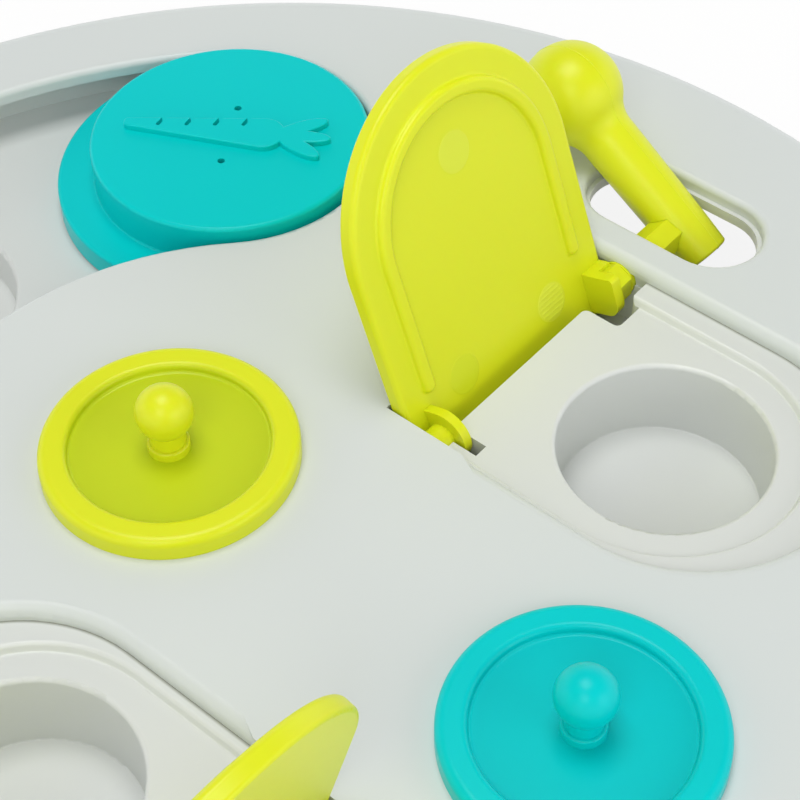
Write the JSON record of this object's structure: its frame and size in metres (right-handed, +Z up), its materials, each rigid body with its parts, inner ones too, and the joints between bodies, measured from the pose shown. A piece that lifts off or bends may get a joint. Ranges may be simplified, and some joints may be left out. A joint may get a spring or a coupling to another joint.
{
  "type": "pet puzzle board",
  "caption": "Round treat puzzle board for pets: hinged flaps turned by ball-ended levers, a disc sliding in a curved channel, and lift-off lids with ball knobs, over moulded cups.",
  "frame": {"origin": "on the table under the centre of the round board", "axes": "+Z up; +Y along the flaps' hinge axes; the curved channel lies on the -X side"},
  "size_m": [0.23, 0.23, 0.0647],
  "materials": {
    "board_cover": "pale grey moulded plastic with a fine satin grain",
    "board_tray": "pale warm grey moulded plastic, satin",
    "lime_plastic": "lime moulded plastic with a soft gloss",
    "turquoise_plastic": "turquoise moulded plastic with a soft gloss",
    "screw_steel": "plated steel self-tapping screw",
    "foot_rubber": "pale grey anti-slip rubber"
  },
  "bodies": {
    "base": {"top_cover": "board_cover", "bottom_tray": "board_tray", "cover_screws": "screw_steel", "foot_1": "foot_rubber", "foot_2": "foot_rubber", "foot_3": "foot_rubber", "foot_4": "foot_rubber", "foot_5": "foot_rubber", "foot_6": "foot_rubber"},
    "slider": {"slider": "turquoise_plastic"},
    "flap_a": {"flap_a": "lime_plastic", "lever_a": "lime_plastic"},
    "flap_b": {"flap_b": "lime_plastic", "lever_b": "lime_plastic"},
    "lid_lime": {"lid_lime": "lime_plastic", "knob_lime": "lime_plastic"},
    "lid_teal": {"lid_teal": "turquoise_plastic", "knob_teal": "turquoise_plastic"}
  },
  "joints": [
    {"name": "slider_run", "type": "hinge", "parent": "base", "child": "slider", "pos_m": [0, 0, 0], "axis": [0, 0, 1], "range_deg": [0, 90]},
    {"name": "flap_a_hinge", "type": "hinge", "parent": "base", "child": "flap_a", "pos_m": [0.0108, 0.049, 0.0175], "axis": [0, -1, 0], "range_deg": [-109.7, 0]},
    {"name": "flap_b_hinge", "type": "hinge", "parent": "base", "child": "flap_b", "pos_m": [0.0332, -0.049, 0.0175], "axis": [0, 1, 0], "range_deg": [-104.5, 5.2]},
    {"name": "lid_lime_lift", "type": "slide", "parent": "base", "child": "lid_lime", "axis": [0, 0, 1], "range_m": [0, 0.05]},
    {"name": "lid_teal_lift", "type": "slide", "parent": "base", "child": "lid_teal", "axis": [0, 0, 1], "range_m": [0, 0.05]}
  ]
}
